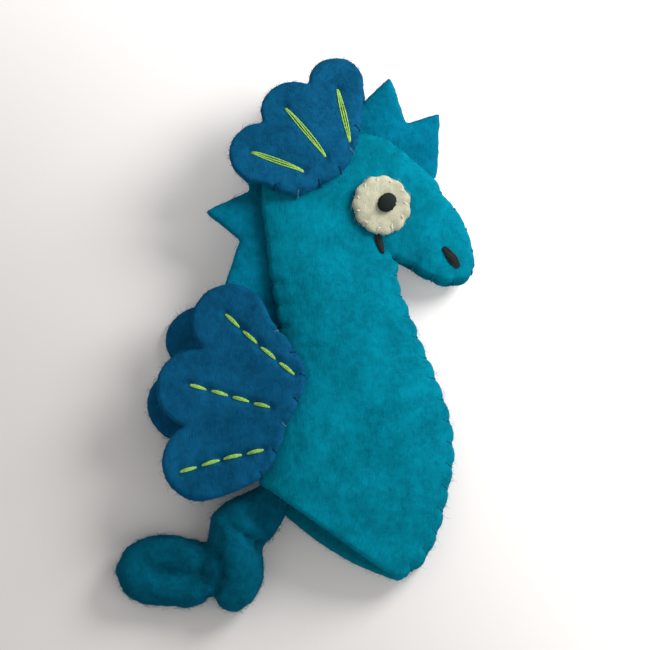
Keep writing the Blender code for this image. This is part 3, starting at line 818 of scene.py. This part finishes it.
tail = {
    "creases": (
        # start, end, reach, depth: where the roll folds and where its turns press together
        ((-0.0178, -0.0432), (-0.0152, -0.0462), 0.0009, 0.0018),
        ((-0.0152, -0.0462), (-0.0142, -0.0497), 0.0009, 0.0021),
        ((-0.0142, -0.0497), (-0.0154, -0.0524), 0.0009, 0.0018),
        ((-0.0154, -0.0524), (-0.0166, -0.0545), 0.0009, 0.0016),
        ((-0.0132, -0.0408), (-0.0098, -0.0427), 0.0009, 0.0015),
        ((-0.0098, -0.0427), (-0.0066, -0.0448), 0.0010, 0.0021),
        ((-0.0285, -0.0484), (-0.0215, -0.0494), 0.0010, 0.0012),
        ((-0.0300, -0.0520), (-0.0268, -0.0548), 0.0010, 0.0006),
        ((-0.0215, -0.0512), (-0.0228, -0.0556), 0.0010, 0.0005),
        ((-0.0110, -0.0370), (-0.0072, -0.0402), 0.0010, 0.0005),
    ),
    "fills": (
        # place, reach, swell: closes the old valley beside the coil's end
        ((-0.0178, -0.0489, 0.0030), 0.0020, 0.0015),
        ((-0.0170, -0.0456, 0.0050), 0.0014, 0.0010),
        ((-0.0166, -0.0480, 0.0050), 0.0014, 0.0012),
        ((-0.0168, -0.0506, 0.0045), 0.0014, 0.0012),
    ),
    "moves": (
        # place, reach, move, at every height: the coil's bottom is lifted, and the notch pushed in
        ((-0.0225, -0.0565), 0.0045, (0.0, 0.0008, 0.0)),
        ((-0.0170, -0.0562), 0.0015, (0.0, 0.0030, 0.0)),
        ((-0.0193, -0.0566), 0.0018, (0.0, 0.0014, 0.0)),
        ((-0.0147, -0.0568), 0.0014, (0.0, 0.0009, 0.0)),
        ((-0.0169, -0.0552), 0.0013, (0.0, 0.0018, 0.0)),
    ),
    "beads": 7,              # dents along a crease
}
throat = {
    "chin": (0.0187, 0.0112),
    "readAhead": 0.0012,     # the felt's height is read a little further forward
    "height": 0.009,
    "depth": 0.001,
    "reach": 0.0018,
    "swell": 0.0011,
}
feltForms = {
    # how far a kind of piece is swelled, how lumpy it is, and how often it is smoothed
    "panel": {"swell": 0.00038},
    "fin": {"swell": 0.00020},
    "eye": {"swell": 0.00015, "lump": 0.5},
    "crest": {"swell": 0.00030, "steps": 9},
    "tail": {"swell": 0.00062, "lump": 2.6, "steps": 26, "isSheet": False, "moves": tail["moves"]},
}


def tailDents():
    tree = treeOf("tail")
    dents = []
    for start, end, reach, depth in tail["creases"]:
        dents += grooveDents(tree, Vector(start), Vector(end), 1, reach, depth, depth,
                             tail["beads"])
    dents += [(place, reach, -swell) for place, reach, swell in tail["fills"]]
    return dents


def chinDent(side):
    x, y = throat["chin"]
    height = faceHeight(coarseTrees[nodeOn(side, "panel")], x + throat["readAhead"], y, side)
    place = (x, y, (height or throat["height"]) - side * throat["depth"])
    return place, throat["reach"], -throat["swell"]


pieces = {}
for sideName, side in sideUp.items():
    dents = seamDents(side)
    for part in satin:
        dents += satinDents(side, part)
    node = f"{sideName}_panel"
    pieces[node] = feltPiece(node, f"{sideName}BodyPanel", "turquoise", "turquoise_felt",
                             dents + [chinDent(side)], **feltForms["panel"])
    for fin in finNames:
        node = f"{sideName}_{fin}_fin"
        dents = finRootDents(node, side) + limeDents(node, side)
        pieces[node] = feltPiece(node, f"{sideName}{fin.capitalize()}Fin", "blue", "blue_felt",
                                 dents, **feltForms["fin"])
    node = f"{sideName}_eye"
    pieces[node] = feltPiece(node, f"{sideName}EyeDisc", "cream", "cream_felt", eyeDents(side),
                             **feltForms["eye"])
pieces["crest"] = feltPiece("crest", "zigzagCrest", "crest", "crest_felt", [],
                            **feltForms["crest"])
pieces["tail"] = feltPiece("tail", "curledTail", "tail", "tail_felt", tailDents(),
                           **feltForms["tail"])
bpy.context.view_layer.update()
graph = bpy.context.evaluated_depsgraph_get()
skins = {name: BVHTree.FromObject(piece, graph) for name, piece in pieces.items()}
print("felt pieces made")


# Threads on the finished felt

def onSkin(node, spot, side, proud):
    height = faceHeight(skins[node], spot.x, spot.y, side)
    return None if height is None else Vector((spot.x, spot.y, height + side * proud))


def wallSpot(node, spot, outward, height):
    # where a level line from outside meets the piece's cut edge
    start = Vector((*(spot + outward * probe["beside"]), height))
    hit = skins[node].ray_cast(start, Vector((*-outward, 0.0)), 2.0 * probe["beside"])[0]
    return Vector((*spot, height)) if hit is None else hit


def seamHalf(side, spot, outward, along):
    # from inside the panel's face, over its cut edge, to the middle of the seam
    node = nodeOn(side, "panel")
    start = spot - outward * seam["inset"]
    if underFin(*start, side):
        return None
    slant = along * seam["lean"] * side
    proud = seam["proud"] - seam["headSink"] * onHead(spot)
    inner = onSkin(node, start + slant, side, proud)
    rim = onSkin(node, spot - outward * seam["rimInset"] + slant * seam["rimLean"], side, proud)
    if inner is None or rim is None:
        return None
    wall = wallSpot(node, spot, outward, rim.z - side * seam["wallDrop"])
    wall += Vector((*outward, 0.0)) * seam["wallProud"]
    path = [inner - Vector((0.0, 0.0, side * seam["tuck"])), inner, rim, wall]
    crest = faceHeight(skins["crest"], *(spot + outward * seam["crestLook"]), side)
    if crest is not None:
        end = spot + outward * seam["crestReach"]
        path.append(Vector((*end, crest - side * seam["crestSink"])))
    return path


def seamThread():
    paths = []
    for number, (spot, outward, along) in enumerate(seamStitches):
        halves = [seamHalf(side, spot, outward, along) for side in (1, -1)]
        if halves[0] and halves[1] and len(halves[0]) == seam["plainPath"]:
            halves = [halves[0] + halves[1][::-1]]
        for half in halves:
            if half:
                paths += twisted(smoothPath(half), seam, number)
    tubePiece("seamWhipThread", paths, seam["radius"], threads["turquoise"])


def finRootThread(finName):
    # from inside the fin's face, over its cut edge, and in under it
    side = sideUp[finName.split("_")[0]]
    panel = nodeOn(side, "panel")
    dark, pale = [], []
    for number, (spot, outward, along) in enumerate(finStitches[finName]):
        slant = along * finRoot["lean"]
        inner = onSkin(finName, spot - outward * finRoot["inset"] + slant, side, -finRoot["sink"])
        rim = onSkin(finName, spot - outward * finRoot["rimInset"], side, -finRoot["sink"])
        ground = onSkin(panel, spot + outward * finRoot["reach"] - slant, side, 0.0)
        if inner is None or rim is None or ground is None:
            continue
        out = Vector((*outward, 0.0))
        upper = wallSpot(finName, spot, outward, rim.z - side * finRoot["upperDrop"])
        lower = wallSpot(finName, spot, outward, rim.z - side * finRoot["lowerDrop"])
        upper -= out * finRoot["sunk"]
        lower -= out * finRoot["sunk"]
        tuck = Vector((0.0, 0.0, side * finRoot["tuck"]))
        foot = lower - out * finRoot["footIn"] - Vector((0.0, 0.0, side * finRoot["footDown"]))
        path = smoothPath([inner - tuck, inner, rim, upper, lower, foot])
        bundle = pale if number % finRoot["paleEvery"] == 1 else dark
        bundle += twisted(path, finRoot, number)
    name = finName.replace("_fin", "")
    tubePiece(name + "FinRootThread", dark, finRoot["radius"], threads["blue"])
    tubePiece(name + "FinPaleThread", pale, finRoot["radius"], threads["paleBlue"])


def eyeThread(sideName, side):
    paths = []
    node = f"{sideName}_eye"
    for number, (spot, outward) in enumerate(eyeStations(side)):
        lean = Vector((-outward.y, outward.x)) * eye["lean"]
        inner = onSkin(node, spot - outward * eye["inset"] + lean, side, -eye["sink"])
        rim = onSkin(node, spot - outward * eye["rimInset"], side, -eye["sink"])
        foot = onSkin(f"{sideName}_panel", spot + outward * eye["reach"] - lean, side, eye["sink"])
        if inner is None or rim is None or foot is None:
            continue
        wall = wallSpot(node, spot, outward, 0.5 * (rim.z + foot.z))
        wall -= Vector((*outward, 0.0)) * eye["wallSink"]
        tuck = Vector((0.0, 0.0, side * eye["tuck"]))
        path = smoothPath([inner - tuck, inner, rim, wall, foot, foot - tuck])
        paths += twisted(path, eye, number)
    tubePiece(f"{sideName}EyeThread", paths, eye["radius"], threads["cream"])


floss = {
    "shares": (0.0, 0.05, 0.16, 0.33, 0.5, 0.67, 0.84, 0.95, 1.0),
    "crossing": 0.25,        # the strands lie a little across one another
    "fullness": 0.7,
    "endWidth": 0.12,
    "pull": 0.00050,         # an end goes this deep into the felt
    "fewestPoints": 4,
    "perSpan": 3,
}


def flossStitch(node, carrier, side, look, material):
    # strands side by side from end to end, each end sunk into the felt
    start, end, width = stitchLine(node)
    if start.y < end.y:
        start, end = end, start
    start = start + (start - end).normalized() * look["runOn"]
    draw = random.Random(look["seed"])
    way = (end - start).normalized()
    across = Vector((-way.y, way.x))
    spread = width * look["widen"] / 2.0 - look["radius"]
    paths = []
    for strand in range(look["strands"]):
        lane = -1.0 + 2.0 * strand / (look["strands"] - 1)
        crossing = draw.uniform(-floss["crossing"], floss["crossing"])
        points = []
        for share in floss["shares"]:
            swell = math.sin(math.pi * share)**floss["fullness"]
            off = spread * (lane + crossing * math.cos(math.pi * share))
            off *= floss["endWidth"] + (1.0 - floss["endWidth"]) * swell
            spot = start.lerp(end, share) + across * off
            lift = look["radius"] + look["arch"] * (1.0 - lane**2) * swell
            point = onSkin(carrier, spot, side, lift if 0.0 < share < 1.0 else -floss["pull"])
            if point is not None:
                points.append(point)
        if len(points) >= floss["fewestPoints"]:
            paths.append(smoothPath(points, floss["perSpan"]))
    first, *words = node.split("_")
    pieceName = first + "".join(word.capitalize() for word in words) + "Floss"
    tubePiece(pieceName, paths, look["radius"], material, [node])


seamThread()
for finName in finLoops:
    finRootThread(finName)
for sideName, side in sideUp.items():
    eyeThread(sideName, side)
    for fin in finNames:
        for number, node in enumerate(stitchNodes(f"{sideName}_{fin}_stitch")):
            look = {**lime, "widen": lime["widen"][fin], "seed": lime["seed"] + number}
            flossStitch(node, f"{sideName}_{fin}_fin", side, look, threads["lime"])
    for part, look in satin.items():
        flossStitch(f"{sideName}_{part}", f"{sideName}_panel", side, look, threads["black"])
print("threads made")


# Pupils: a padded dome wound over with satin stitches

pupil = {
    "height": 0.00120,
    "domeHeight": 0.97,      # the dome's share of the height
    "domeWidth": 0.93,
    "domeFaces": (28, 14),
    "strands": 12,
    "strandRadius": 0.00017,
    "lanes": 0.95,           # how far out the outermost strands lie
    "laneWidth": 0.94,
    "strandLength": 0.95,
    "shares": (-1.0, -0.9, -0.6, -0.3, 0.0, 0.3, 0.6, 0.9, 1.0),
    "sink": 0.00025,         # a strand's ends go this deep into the felt
    "perSpan": 3,
}


def pupilPiece(sideName, side):
    node = f"{sideName}_pupil"
    start, end, width = stitchLine(node)
    centre = (start + end) / 2.0
    halfLong = (end - start).length / 2.0
    halfWide = width / 2.0
    way = (end - start).normalized()
    across = Vector((-way.y, way.x))
    seat = onSkin(f"{sideName}_eye", centre, side, 0.0)
    dome = bmesh.new()
    around, upward = pupil["domeFaces"]
    bmesh.ops.create_uvsphere(dome, u_segments=around, v_segments=upward, radius=1.0)
    size = (halfLong * pupil["domeWidth"], halfWide * pupil["domeWidth"],
            pupil["height"] * pupil["domeHeight"])
    bmesh.ops.scale(dome, vec=size, verts=dome.verts)
    turn = Matrix.Rotation(math.atan2(way.y, way.x), 3, "Z")
    bmesh.ops.rotate(dome, verts=dome.verts, cent=(0.0, 0.0, 0.0), matrix=turn)
    bmesh.ops.translate(dome, verts=dome.verts, vec=seat)
    mesh = bpy.data.meshes.new(f"{sideName}PupilDome")
    dome.to_mesh(mesh)
    dome.free()
    mesh.shade_smooth()
    mesh.materials.append(threads["black"])
    finishPiece(bpy.data.objects.new(f"{sideName}PupilDome", mesh), [node])
    paths = []
    for strand in range(pupil["strands"]):
        lane = -pupil["lanes"] + 2.0 * pupil["lanes"] * strand / (pupil["strands"] - 1)
        half = halfLong * pupil["strandLength"] * math.sqrt(1.0 - lane * lane)
        points = []
        for share in pupil["shares"]:
            rise = math.sqrt(max(0.0, 1.0 - lane * lane - (share * half / halfLong)**2))
            spot = centre + way * share * half + across * lane * halfWide * pupil["laneWidth"]
            lift = pupil["height"] * rise - pupil["sink"] * (abs(share) == 1.0)
            points.append(seat + Vector((*(spot - centre), side * lift)))
        paths.append(smoothPath(points, pupil["perSpan"]))
    tubePiece(f"{sideName}PupilSatin", paths, pupil["strandRadius"], threads["black"])


for sideName, side in sideUp.items():
    pupilPiece(sideName, side)
print("pupils made")


# Loose wool fibres over each felt piece

fuzz = {
    "radius": 0.000027,
    "length": (0.0006, 0.0020),
    "eyeLength": 0.55,       # shorter on the eyes
    "lift": 0.34,
    "liftSpread": (0.3, 1.4),
    "middleLift": 1.3,       # a fibre rises first and then lies over
    "tipLift": 0.7,
    "bend": 0.55,
    "rootSink": 0.00004,
    "leastTangent": 0.001,
    "lowest": 0.0001,        # fibres that would reach the floor are left out
    "counts": {"panel": 4000, "ear_fin": 1900, "back_fin": 2200, "crest": 2000, "tail": 3000,
               "eye": 160},
    "wools": {"panel": "turquoise", "ear_fin": "blue", "back_fin": "blue", "crest": "crest",
              "tail": "tail", "eye": "cream"},
}


def fuzzPiece(node, count, wool, seed):
    piece = pieces[node]
    places, normals = meshArrays(piece.data)
    draw = random.Random(seed)
    paths = []
    for fibre in range(count):
        index = draw.randrange(len(places))
        normal = Vector(normals[index])
        root = Vector(places[index]) - normal * fuzz["rootSink"]
        sideways = Vector((draw.uniform(-1, 1), draw.uniform(-1, 1), draw.uniform(-1, 1)))
        tangent = normal.cross(sideways)
        if tangent.length < fuzz["leastTangent"]:
            continue
        tangent.normalize()
        side = normal.cross(tangent)
        length = draw.uniform(*fuzz["length"]) * (fuzz["eyeLength"] if wool == "cream" else 1.0)
        lift = fuzz["lift"] * draw.uniform(*fuzz["liftSpread"])
        bend = fuzz["bend"] * draw.uniform(-1.0, 1.0)
        middle = root + (tangent + normal * lift * fuzz["middleLift"]) * length * 0.5
        tip = root + (tangent + side * bend + normal * lift * fuzz["tipLift"]) * length
        if min(root.z, middle.z, tip.z) < fuzz["lowest"]:
            continue
        paths.append([root, middle, tip])
    tubePiece(piece.name + "Fuzz", paths, fuzz["radius"], fuzzes[wool], sides=0,
              taper=True)


for number, node in enumerate(pieces):
    kind = next(kind for kind in fuzz["counts"] if node.endswith(kind))
    fuzzPiece(node, fuzz["counts"][kind], fuzz["wools"][kind], number + 1)
print("fuzz made")


# Soft pieces: each sheet's outline is read once more and not used

def declareSheet(node):
    loop = outlineOf(node)


declareSheet("left_panel")
declareSheet("right_panel")
declareSheet("crest")
for sideName in sideUp:
    for part in ("ear_fin", "back_fin", "eye"):
        declareSheet(f"{sideName}_{part}")


# Floor, light and camera

stage = {
    "floorHalf": 1.5,
    "floorDrop": 0.00004,
    "floorSeen": (0.93, 0.893, 0.866),
    "floorDim": (-0.075, -0.085, 0.0),   # painted light: from here out the floor glows for the camera and grows paler
    "floorFade": (0.06, 0.28),           # and reaches white beyond the lamps' reach
    # painted light: how strongly the floor glows for the camera far from floorDim
    "floorLift": 0.70,
    "floorFelt": (0.62, 0.61, 0.60),     # what lights the puppet from below
    "floorRoughness": 0.9,
    "floorGloss": 0.1,
    "skySeen": (0.97, 0.97, 0.97),
    "skyLight": 0.41,
    "keyPlace": (0.13, 0.075, 0.120),
    "keySize": 0.10,
    "keyPower": 0.29,
    "fillPlace": (0.30, -0.24, 0.30),
    "fillSize": 0.40,
    "fillPower": 0.35,
    "target": (0.0048, -0.0002, 0.0050),
    "distance": 0.270,
    "elevation": math.radians(75),
    "lens": 74.8,
    "sensor": 36.0,
    "clipStart": 0.01,
}


def seenOrNot(tree):
    # 1 for what the camera, a reflection or a clear piece sees, 0 for light
    path = tree.nodes.new("ShaderNodeLightPath")
    seen = mathNode(tree, "MAXIMUM", path.outputs["Is Camera Ray"], path.outputs["Is Glossy Ray"])
    return mathNode(tree, "MAXIMUM", seen, path.outputs["Is Transmission Ray"])


def floorPiece():
    shape = bmesh.new()
    bmesh.ops.create_grid(shape, x_segments=1, y_segments=1, size=stage["floorHalf"])
    bmesh.ops.translate(shape, verts=shape.verts, vec=(0.0, 0.0, -stage["floorDrop"]))
    mesh = bpy.data.meshes.new("floor")
    shape.to_mesh(mesh)
    shape.free()
    material = bpy.data.materials.new("paleFloor")
    material.use_nodes = True
    tree = material.node_tree
    shader = tree.nodes["Principled BSDF"]
    shader.inputs["Roughness"].default_value = stage["floorRoughness"]
    shader.inputs["Specular IOR Level"].default_value = stage["floorGloss"]
    seen = seenOrNot(tree)
    colour = blendNode(tree, seen, (*stage["floorFelt"], 1.0), (*stage["floorSeen"], 1.0))
    tree.links.new(colour, shader.inputs["Base Color"])
    # painted light: for the camera the floor glows, more the further it lies from floorDim, in
    # place of lamp light that doesn't reach so far
    away = tree.nodes.new("ShaderNodeVectorMath")
    away.operation = "DISTANCE"
    tree.links.new(tree.nodes.new("ShaderNodeTexCoord").outputs["Object"], away.inputs[0])
    away.inputs[1].default_value = stage["floorDim"]
    far = rampNode(tree, away.outputs["Value"], *stage["floorFade"])
    lift = mathNode(tree, "MULTIPLY", mathNode(tree, "MULTIPLY", far, seen), stage["floorLift"])
    shader.inputs["Emission Color"].default_value = (1.0, 1.0, 1.0, 1.0)
    tree.links.new(lift, shader.inputs["Emission Strength"])
    mesh.materials.append(material)
    floor = bpy.data.objects.new("floor", mesh)
    scene.collection.objects.link(floor)


def studioWorld():
    world = bpy.data.worlds.new("softStudio")
    world.use_nodes = True
    tree = world.node_tree
    light = stage["skyLight"]
    colour = blendNode(tree, seenOrNot(tree), (light, light, light, 1.0), (*stage["skySeen"], 1.0))
    tree.links.new(colour, tree.nodes["Background"].inputs["Color"])
    scene.world = world


def softLamp(name, place, size, power):
    lamp = bpy.data.lights.new(name, "AREA")
    lamp.shape = "DISK"
    lamp.size = size
    lamp.energy = power
    holder = bpy.data.objects.new(name, lamp)
    holder.location = place
    holder.rotation_mode = "QUATERNION"
    holder.rotation_quaternion = (Vector(stage["target"]) - Vector(place)).to_track_quat("-Z", "Y")
    scene.collection.objects.link(holder)


def studioCamera():
    lens = bpy.data.cameras.new("camera")
    lens.lens = stage["lens"]
    lens.sensor_width = stage["sensor"]
    lens.clip_start = stage["clipStart"]
    camera = bpy.data.objects.new("camera", lens)
    back = Vector((0.0, -math.cos(stage["elevation"]), math.sin(stage["elevation"])))
    camera.location = Vector(stage["target"]) + back * stage["distance"]
    camera.rotation_mode = "QUATERNION"
    camera.rotation_quaternion = (-back).to_track_quat("-Z", "Y")
    scene.collection.objects.link(camera)
    scene.camera = camera


floorPiece()
studioWorld()
softLamp("keyLight", stage["keyPlace"], stage["keySize"], stage["keyPower"])
softLamp("fillLight", stage["fillPlace"], stage["fillSize"], stage["fillPower"])
studioCamera()
print("stage set")
